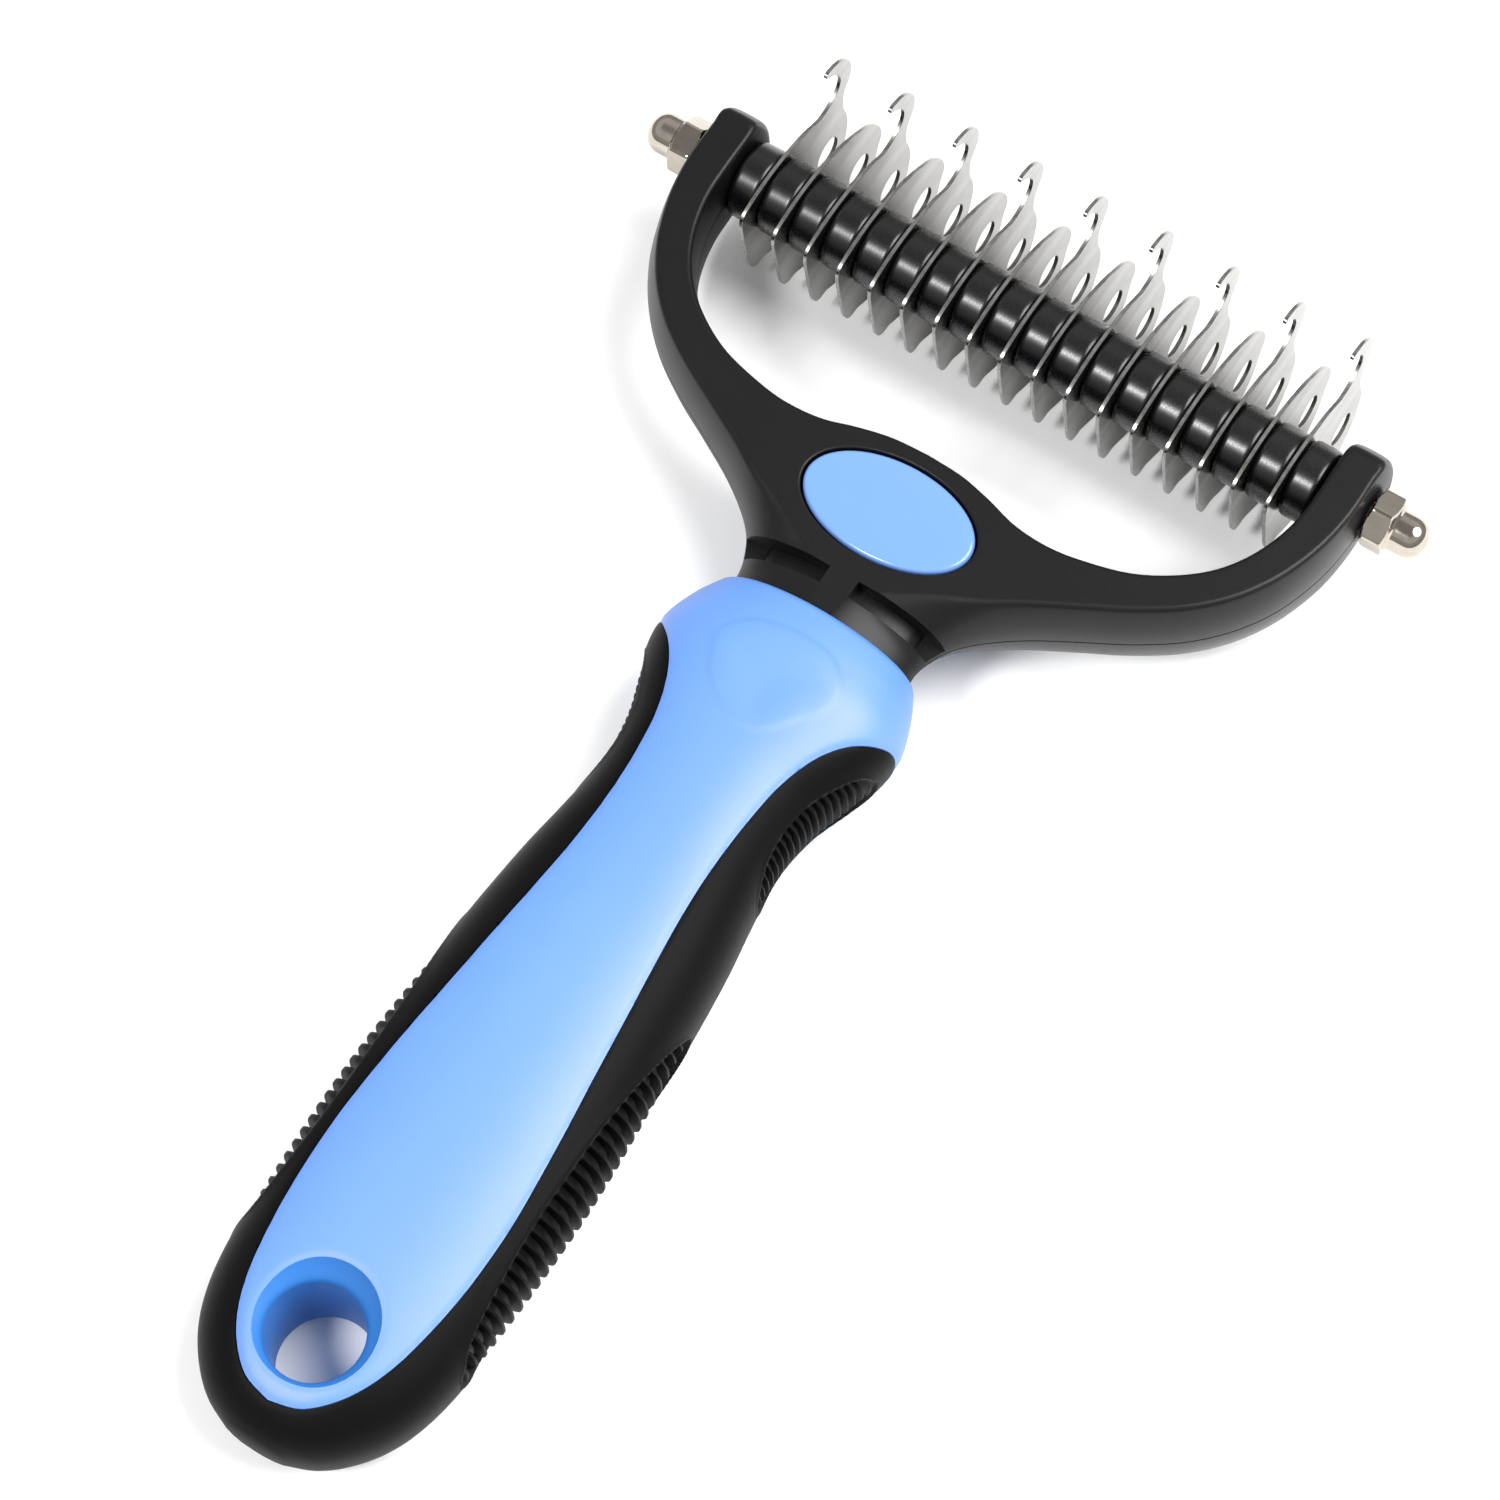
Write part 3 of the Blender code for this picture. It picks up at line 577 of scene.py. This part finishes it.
# ---------------------------------------------------------------------------
# handle
# ---------------------------------------------------------------------------
def panel_outline(grow):
    right = smooth(PANEL, 6)
    pts = np.vstack([[(30.0, -40.0), (30.0, PANEL[0][1])], right])
    full = np.vstack([pts, pts[:-1][::-1] * [-1, 1]])
    n = len(full)
    prev, nxt = np.roll(full, 1, 0), np.roll(full, -1, 0)
    t = nxt - prev
    t /= np.linalg.norm(t, axis=1)[:, None]
    out = full + grow * np.stack([-t[:, 1], t[:, 0]], 1)
    far = np.abs(full[:, 0]) >= 29.9
    out[far] = full[far]
    near_end = far & (full[:, 1] < -45)
    out[near_end, 1] -= grow
    return out


def body_rings(stations, count):
    """Handle body: superellipse sections with normals, plus the rounded ends."""
    ys = np.array(stations, float)
    w, h, n = table(HALF_WIDTH, ys), table(HALF_HEIGHT, ys), table(SQUARENESS, ys)
    a = 2 * math.pi * (np.arange(count) + 0.5) / count
    c, s = np.cos(a), np.sin(a)
    rings, normals = [], []
    # rounded front edge
    r = 0.9
    for k, y in enumerate(ys):
        ww, hh, nn = w[k], h[k], n[k]
        d = y - HANDLE_FRONT
        if d > -r:
            q = 1 - math.sqrt(max(0.0, 1 - (1 + d / r) ** 2))
            ww, hh = ww - r * q, hh - r * q
        x = np.sign(c) * np.abs(c) ** (2 / nn) * ww
        z = np.sign(s) * np.abs(s) ** (2 / nn) * hh
        nx = np.sign(x) * (np.abs(x) / ww) ** (nn - 1) / ww
        nz = np.sign(z) * (np.abs(z) / hh) ** (nn - 1) / hh
        ln = np.hypot(nx, nz) + 1e-12
        rings.append(np.stack([x, np.full(count, y), z], 1))
        normals.append(np.stack([nx / ln, np.zeros(count), nz / ln], 1))
    return np.array(rings), np.array(normals)


def butt_rings(last):
    """Close the butt in a smooth dome from the last full section."""
    out = []
    y0 = last[0, 1]
    for f, y in ((0.82, y0 - 0.20), (0.6, y0 - 0.36), (0.35, y0 - 0.46), (0.1, BUTT_Y)):
        r = last * [f, 1, f]
        r[:, 1] = max(y, BUTT_Y)
        out.append(r)
    return np.array(out)


def relief(verts, normals, core):
    """Push surface points in or out for the seam's rounded edge, the thumb rest,
    the rim of the hanging hole and the ribs of the grip."""
    p = verts.copy()
    plan = verts[:, :2]
    d = polyline_distance(plan, panel_outline(0.0)[2:-2])
    move = np.zeros(len(p))
    if core:
        width, depth = 0.95, 0.20
    else:
        width, depth = 0.7, 0.13
    move -= depth * np.clip(1 - d / width, 0, 1) ** 2
    if core:
        flat = np.abs(verts[:, 2]) > 2.0
        pad = smooth(PAD, 10, closed=True)
        near = flat & (verts[:, 1] > -70) & (verts[:, 1] < -50) & (np.abs(verts[:, 0]) < 12)
        idx = np.where(near)[0]
        dd = polyline_distance(plan[idx], pad, closed=True)
        sd = np.where(inside(plan[idx], pad), dd, -dd)
        rise = 0.16 * sstep(-0.26, 0.26, sd)
        dish = -0.36 * sstep(0.1, 6.5, sd)
        move[idx] += rise + dish
        mouth = np.interp(np.abs(verts[:, 2]), [7.45, 7.93, 8.48, 9.05, 9.6],
                          [6.65, 7.2, 7.75, 8.2, 8.55])
        rim = np.hypot(verts[:, 0], verts[:, 1] - HOLE_Y) - mouth
        move += np.where(flat, -0.16 * np.clip(1 - rim / 0.75, 0, 1) ** 2, 0.0)
    else:
        y, z = verts[:, 1], np.abs(verts[:, 2])
        for zone, (y0, pitch), deep, top in ((ZONE_FRONT, RIBS_FRONT, 0.80, 0.10),
                                             (ZONE_REAR, RIBS_REAR, 1.30, 0.12)):
            lo, hi = zone[-1][0], zone[0][0]
            inz = (y < hi) & (y > lo)
            crease = np.where(inz, np.maximum(table(zone, y), 0.0), 0.0)
            below = np.where(inz, crease - z, -1.0)     # distance under the crease
            phase = ((y - y0) / pitch + 0.5) % 1.0 - 0.5     # 0 in the middle of a groove
            g = 1 - sstep(0.24, 0.40, np.abs(phase))
            ramp = sstep(0.1, 1.3, below)
            ends = sstep(lo + 0.5, lo + 4.2, y) * (1 - sstep(hi - 3.0, hi - 0.4, y))
            lip = 0.55 * sstep(0.0, 0.55, below) * (1 - 0.75 * sstep(0.3, 3.2, below))
            move -= np.where(below > 0, (deep * g * ramp * (0.25 + 0.75 * ends) + top * ends + lip * (0.4 + 0.6 * ends)), 0.0) \
                * sstep(0.0, 0.45, below)
            # soft ridge along the crease
            ridge = 0.10 * np.exp(-(np.where(inz, crease - z, 9.0) / 0.45) ** 2)
            move += np.where(inz & (crease > 0.8), ridge, 0.0)
    return p + normals * move[:, None]


def handle_piece(name, stations, count, core):
    rings, normals = body_rings(stations, count)
    m = rings.shape[0]
    flat = relief(rings.reshape(-1, 3), normals.reshape(-1, 3), core).reshape(m, count, 3)
    rings = np.concatenate([flat, butt_rings(flat[-1])])
    return build(name, *skin(rings))


def handle_pieces():
    front = [HANDLE_FRONT - d for d in (0.0, 0.03, 0.08, 0.15, 0.25, 0.37, 0.5, 0.65, 0.8, 0.95)]
    core_y = front + list(np.arange(-49.9, -161.0, -0.36)) + list(np.arange(-161.0, -167.5, -0.3)) + [-167.5]
    core = handle_piece("handle_core_shell", core_y, 224, True)
    grip_y = front + list(np.arange(-49.9, -61.2, -0.5)) + list(np.arange(-61.2, -84.0, -0.1057)) \
        + list(np.arange(-84.0, -99.9, -0.5)) + list(np.arange(-99.9, -153.0, -0.17)) \
        + list(np.arange(-153.0, -161.0, -0.4)) + list(np.arange(-161.0, -167.5, -0.3)) + [-167.5]
    grip = handle_piece("grip_shell", grip_y, 232, False)

    gap = 0.07
    for ob, grow, op in ((core, -gap, 'INTERSECT'), (grip, gap, 'DIFFERENCE')):
        line = panel_outline(grow)
        rings = [[(x, y, z) for x, y in line] for z in (-20.0, 20.0)]
        cut(ob, build("panel", *skin(rings)), op)

    # hanging hole: funnel at each face, straight tunnel between
    k = 128
    a = np.arange(k) * 2 * math.pi / k
    half = [(HOLE_R, 0.0), (HOLE_R, HOLE_RIM_Z - 1.3), (HOLE_R + 0.08, HOLE_RIM_Z - 0.9),
            (HOLE_R + 0.32, HOLE_RIM_Z - 0.55), (HOLE_R + 0.75, HOLE_RIM_Z - 0.15),
            (HOLE_R + 1.3, HOLE_RIM_Z + 0.33), (HOLE_R + 1.85, HOLE_RIM_Z + 0.88),
            (HOLE_RIM_R - 0.1, 9.05), (HOLE_RIM_R + 0.25, 9.6), (HOLE_RIM_R + 3.6, 14.0)]
    prof = [(r, -z) for r, z in half[::-1]] + half[1:]
    rings = [np.stack([r * np.cos(a), HOLE_Y + r * np.sin(a), np.full(k, z)], 1) for r, z in prof]
    cut(core, build("hole", *skin(rings)), 'DIFFERENCE')
    w, run, h = TANG
    g = 0.3
    cut(core, box_cutter(-w / 2 - g, w / 2 + g, NECK_END - run - g, -40, -h / 2 - g, h / 2 + g),
        'DIFFERENCE')
    finish_mesh(core, M_BLUE, sharp=38.0)
    # faces of the hole's inner walls that face its axis get the darker blue: painted shade inside the hole
    core.data.materials.append(M_BORE_PAINTED_SHADE)
    axis = W((0.0, HOLE_Y, 0.0))
    for p in core.data.polygons:
        dx, dy = p.center[0] - axis[0], p.center[1] - axis[1]
        rho = math.hypot(dx, dy)
        if rho < 0.0088 and (p.normal[0] * dx + p.normal[1] * dy) / (rho + 1e-9) < -0.35:
            p.material_index = 1
    finish_mesh(grip, M_RUBBER, sharp=50.0)
    return core, grip


# ---------------------------------------------------------------------------
# blades, spacers, rod, nuts
# ---------------------------------------------------------------------------
def offset_loop(loop, by, out_of_material=True):
    """Move a closed plan loop along its normals; positive by shrinks the material side."""
    prev, nxt = np.roll(loop, 1, 0), np.roll(loop, -1, 0)
    t = nxt - prev
    t /= np.linalg.norm(t, axis=1)[:, None]
    nrm = np.stack([t[:, 1], -t[:, 0]], 1)
    x, y = loop[:, 0], loop[:, 1]
    area = np.sum(x * nxt[:, 1] - nxt[:, 0] * y)
    nrm *= 1.0 if area > 0 else -1.0          # now outward of the loop
    return loop - nrm * by * (1 if out_of_material else -1)


def blade_mesh(name, outline):
    """Stamped plate with deburred edges, rod hole and round eye."""
    k = 64
    a = np.arange(k) * 2 * math.pi / k
    outer = smooth(outline, 5, closed=True)
    hole = np.stack([BORE_R * np.cos(a), BORE_R * np.sin(a)], 1)
    cy, cz, r = EYE
    eye = np.stack([cy + r * np.cos(a), cz + r * np.sin(a)], 1)
    half = BLADE_T / 2
    e = 0.05
    prof = [(half, e), (half - e, 0.0)]
    prof = prof + [(-x, i) for x, i in prof[::-1]]
    bm = bmesh.new()
    caps = {0: [], len(prof) - 1: []}
    for loop, shrink in ((outer, True), (hole, False), (eye, False)):
        lines = []
        for x, inset in prof:
            q = offset_loop(loop, inset, shrink)
            lines.append([bm.verts.new(Vector((x, y, z)) * 0.001) for y, z in q])
        n = len(loop)
        for p, q in zip(lines, lines[1:]):
            for i in range(n):
                j = (i + 1) % n
                f = bm.faces.new((p[i], p[j], q[j], q[i]))
                # the walls of the rod hole and the eye get the darker steel, painted shade inside the holes;
                # the outer edge keeps the plain edge steel
                if p is lines[1]:
                    f.material_index = 1 if shrink else 2
        for key in caps:
            caps[key] += [bm.edges.get((lines[key][i], lines[key][(i + 1) % n])) for i in range(n)]
    for key in caps:
        bmesh.ops.triangle_fill(bm, use_beauty=True, use_dissolve=False, edges=caps[key])
    bmesh.ops.recalc_face_normals(bm, faces=bm.faces)
    me = bpy.data.meshes.new(name)
    bm.to_mesh(me)
    bm.free()
    me.shade_smooth()
    me.set_sharp_from_angle(angle=math.radians(28))
    for m in (M_BLADE, M_EDGE, M_PUNCH_PAINTED_SHADE):
        me.materials.append(m)
    return me


def turned_mesh(name, prof, n, mat, closed=True, sharp=35.0, local=True):
    a = np.arange(n) * 2 * math.pi / n
    rings = [np.stack([np.full(n, x), r * np.cos(a), r * np.sin(a)], 1) for x, r in prof]
    verts, faces = skin(rings, closed=closed)
    me = bpy.data.meshes.new(name)
    me.from_pydata((verts * 0.001).tolist(), [], faces)
    bm = bmesh.new()
    bm.from_mesh(me)
    bmesh.ops.recalc_face_normals(bm, faces=bm.faces)
    bm.to_mesh(me)
    bm.free()
    me.shade_smooth()
    me.set_sharp_from_angle(angle=math.radians(sharp))
    me.materials.append(mat)
    return me


def spacer_profile(half):
    r, b = 0.75, 0.15
    outer = []
    for a in np.radians([90, 72, 54, 36, 18, 0]):
        outer.append((-half + r * (1 - math.sin(a)), SPACER_R - r * (1 - math.cos(a))))
    outer = [(-half, SPACER_R - r - 0.25)] + [(-half + r * (1 - math.cos(a)), SPACER_R - r + r * math.sin(a))
                                              for a in np.radians([0, 18, 36, 54, 72, 90])]
    outer.append((-half + r + 0.2, SPACER_R))
    right = [(-x, rr) for x, rr in outer[::-1]]
    inner = [(half, BORE_R + b), (half - b, BORE_R), (-half + b, BORE_R), (-half, BORE_R + b)]
    return outer + right + inner


def rod_mesh():
    """M4 x 0.7 threaded rod: the ridge runs round as a helix."""
    n, per = 24, 6
    pitch = 0.7
    steps = int(2 * ROD_HALF / pitch * per)
    a = np.arange(n) * 2 * math.pi / n
    rings = []
    for k in range(steps + 1):
        x = -ROD_HALF + 2 * ROD_HALF * k / steps
        ph = (x / pitch - a / (2 * math.pi)) % 1.0
        tri = np.abs(ph - 0.5) * 2
        depth = 0.36 * (1 - np.clip((tri - 0.12) / 0.76, 0, 1))
        end = min(1.0, (ROD_HALF - abs(x)) / 0.5)
        r = np.minimum(ROD_R - 0.02 - depth, ROD_R - 0.55 * (1 - end))
        rings.append(np.stack([np.full(n, x), r * np.cos(a), r * np.sin(a)], 1))
    return build("rod_thread", *skin(rings), mat=M_ROD, sharp=50)


def nut_mesh():
    """Cap nut: chamfered hexagon, small collar, round dome; seat at x = 0."""
    n = 144
    length = NUT_TIP - ARM_OUT - 0.3
    a = 2 * math.pi * np.arange(n) / n
    # a corner points up and a little back, as it does on the comb
    fold = (a + math.pi / 6) % (math.pi / 3) - math.pi / 6
    hexr = NUT_AF / 2 / np.cos(fold)

    def ring(x, r):
        r = np.broadcast_to(r, (n,))
        b = a + math.pi / 2 + math.pi / 6 + math.radians(12)
        return np.stack([np.full(n, x), r * np.cos(b), r * np.sin(b)], 1)

    corner = NUT_AF / 2 / math.cos(math.pi / 6)
    rings = [ring(6.0, 0.15), ring(5.75, 1.15), ring(5.6, BORE_R), ring(0.25, BORE_R),
             ring(0.0, BORE_R + 0.25)]
    # seat side chamfer, body, dome side chamfer: a cone cuts the hexagon's corners
    for x in (0.0, 0.05, 0.12, 0.2, 0.3, 0.42, 0.6):
        limit = 3.38 + x * 1.75
        rings.append(ring(x, np.minimum(np.minimum(hexr, corner - 0.11), limit)))
    for x in (1.0, 1.6, 2.2, 2.6):
        rings.append(ring(x, np.minimum(hexr, corner - 0.11)))
    for x in (2.72, 2.82, 2.92, 3.0, 3.07, 3.13, NUT_HEX):
        limit = 3.30 + (NUT_HEX - x) * 1.75
        rings.append(ring(x, np.minimum(np.minimum(hexr, corner - 0.11), limit)))
    rings += [ring(NUT_HEX + 0.0, 3.12), ring(NUT_HEX + 0.12, 3.02), ring(NUT_HEX + 0.22, 2.9),
              ring(NUT_HEX + 0.34, DOME_R + 0.02), ring(NUT_HEX + 0.6, DOME_R)]
    straight = length - DOME_R * 0.86
    rings.append(ring(straight, DOME_R))
    for t in range(9, 90, 9):
        u = math.radians(t)
        rings.append(ring(straight + DOME_R * 0.86 * math.sin(u), DOME_R * math.cos(u) ** 0.92))
    rings.append(ring(length, 0.05))
    verts, faces = skin(rings)
    me = bpy.data.meshes.new("cap_nut_detail")
    me.from_pydata((verts * 0.001).tolist(), [], faces)
    bm = bmesh.new()
    bm.from_mesh(me)
    bmesh.ops.remove_doubles(bm, verts=bm.verts, dist=1e-7)
    bmesh.ops.recalc_face_normals(bm, faces=bm.faces)
    bm.to_mesh(me)
    bm.free()
    me.shade_smooth()
    me.set_sharp_from_angle(angle=math.radians(24))
    me.materials.append(M_NUT)
    return me


def put(name, me, x, body, node, turn=0.0):
    """Place a mesh made about the rod's axis, and let it ride and stand for its node."""
    ob = bpy.data.objects.new(name, me)
    SCENE.collection.objects.link(ob)
    ob.location = W((x, 0.0, 0.0))
    ob.rotation_euler = (0.0, 0.0, turn)
    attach(ob, body)
    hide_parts(node)
    return ob


def adopt(ob, body, node):
    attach(ob, body)
    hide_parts(node)
    return ob


adopt(fork_piece(), "handle", "fork")
adopt(badge_piece("badge_insert_front", 1), "handle", "badge_front")
adopt(badge_piece("badge_insert_back", -1), "handle", "badge_back")
core, grip = handle_pieces()
adopt(core, "handle", "handle_core")
adopt(grip, "handle", "grip_overmould")

adopt(rod_mesh(), "blade_pack", "threaded_rod")
long_me, short_me = blade_mesh("hook_blade", LONG), blade_mesh("round_blade", SHORT)
n_long = n_short = 0
for i in range(BLADES):
    x = (i - (BLADES - 1) / 2) * PITCH
    if i % 2 == 0:
        n_long += 1
        put("hook_blade_%d" % n_long, long_me, x, "blade_pack", "blade_long_%d" % n_long)
    else:
        n_short += 1
        put("round_blade_%d" % n_short, short_me, x, "blade_pack", "blade_short_%d" % n_short)
ring_me = turned_mesh("spacer_ring", spacer_profile((PITCH - BLADE_T) / 2 - 0.03), 72, M_SPACER)
for i in range(BLADES - 1):
    put("spacer_ring_%d" % (i + 1), ring_me, (i + 0.5 - (BLADES - 1) / 2) * PITCH, "blade_pack",
        "spacer_%d" % (i + 1))
outer_blade = (BLADES - 1) / 2 * PITCH + BLADE_T / 2
end_me = turned_mesh("end_ring", spacer_profile((ARM_IN - outer_blade) / 2 - 0.06), 72, M_SPACER)
for side, nm in ((-1, "left"), (1, "right")):
    put("end_ring_" + nm, end_me, side * (ARM_IN + outer_blade) / 2, "blade_pack",
        "end_spacer_" + nm)
nut_me = nut_mesh()
put("cap_nut_detail_right", nut_me, ARM_OUT + 0.3, "cap_nut_right", "cap_nut_right")
put("cap_nut_detail_left", nut_me, -ARM_OUT - 0.3, "cap_nut_left", "cap_nut_left",
    turn=math.pi)

# ---------------------------------------------------------------------------
# stage: floor, lights, camera
# ---------------------------------------------------------------------------
SLOPE = 0.0382      # the comb rests on its blades' lower edges and on the handle's back
me = bpy.data.meshes.new("floor")
size = 3.0
corners = [(-size, -size), (size, -size), (size, size), (-size, size)]
me.from_pydata([(x, y, SLOPE * (0.0831 - y) - 0.0001) for x, y in corners], [], [(0, 1, 2, 3)])
g = Graph("floor_card")
tone = g.remap(g.noise(9.0, 3.0, 0.5), 0.3, 0.7, 0.0, 1.0)
g.link(g.mix(tone, (0.915, 0.915, 0.915), (0.93, 0.93, 0.93)), g.b.inputs["Base Color"])
g.b.inputs["Roughness"].default_value = 0.9
g.b.inputs["Specular IOR Level"].default_value = 0.2
floor = new_object("floor", me, g.mat)

world = bpy.data.worlds.new("studio")
SCENE.world = world
world.use_nodes = True
wt = world.node_tree
bg = wt.nodes["Background"]
tc = wt.nodes.new("ShaderNodeTexCoord")
sep = wt.nodes.new("ShaderNodeSeparateXYZ")
ramp = wt.nodes.new("ShaderNodeValToRGB")
ramp.color_ramp.interpolation = 'EASE'
sky = [(0.0, 0.42), (0.34, 0.48), (0.58, 0.75), (0.80, 0.72), (0.95, 0.34)]
while len(ramp.color_ramp.elements) < len(sky):
    ramp.color_ramp.elements.new(0.5)
for el, (pos, val) in zip(ramp.color_ramp.elements, sky):
    el.position = pos
    el.color = (val / 2, val / 2, val / 2, 1.0)
double = wt.nodes.new("ShaderNodeMath")
double.operation = 'MULTIPLY'
double.inputs[1].default_value = 2.0
wt.links.new(tc.outputs["Generated"], sep.inputs[0])
wt.links.new(sep.outputs["Z"], ramp.inputs["Fac"])
wt.links.new(ramp.outputs["Color"], double.inputs[0])
wt.links.new(double.outputs[0], bg.inputs["Strength"])
bg.inputs["Color"].default_value = (1.0, 1.0, 1.0, 1.0)


def area(name, direction, distance, size_, watts, color=(1.0, 1.0, 1.0), centre=(0.0, 0.02, 0.01)):
    light = bpy.data.lights.new(name, 'AREA')
    light.shape = 'DISK'
    light.size = size_
    light.energy = watts
    light.color = color
    ob = bpy.data.objects.new(name, light)
    SCENE.collection.objects.link(ob)
    d = Vector(direction).normalized()
    ob.location = Vector(centre) + d * distance
    ob.rotation_mode = 'QUATERNION'
    ob.rotation_quaternion = d.to_track_quat('Z', 'Y')
    return ob


area("key_softbox", (-0.19, -0.50, 0.85), 1.1, 0.24, 7.5)
area("broad_window", (0.50, 0.31, 0.81), 1.2, 1.0, 24.0)

cam = bpy.data.cameras.new("camera")
cam.lens = 120.93
cam.sensor_width = 36.0
cam.sensor_fit = 'HORIZONTAL'
cam.clip_start, cam.clip_end = 0.05, 20.0
cam_ob = bpy.data.objects.new("camera", cam)
SCENE.collection.objects.link(cam_ob)
right = Vector((0.8409, 0.5403, -0.0311))
up = Vector((-0.4835, 0.7759, 0.4053))
back = Vector((0.2431, -0.3258, 0.9136)).normalized()
right = (right - back * right.dot(back)).normalized()
up = back.cross(right)
rot = Matrix((right, up, back)).transposed()
cam_ob.matrix_world = Matrix.Translation((0.14753 - 0.0004, -0.18655, 0.56410)) @ rot.to_4x4()
SCENE.camera = cam_ob

SCENE.view_settings.view_transform = 'Standard'
SCENE.view_settings.look = 'None'
SCENE.view_settings.exposure = 0.0
SCENE.view_settings.gamma = 1.0
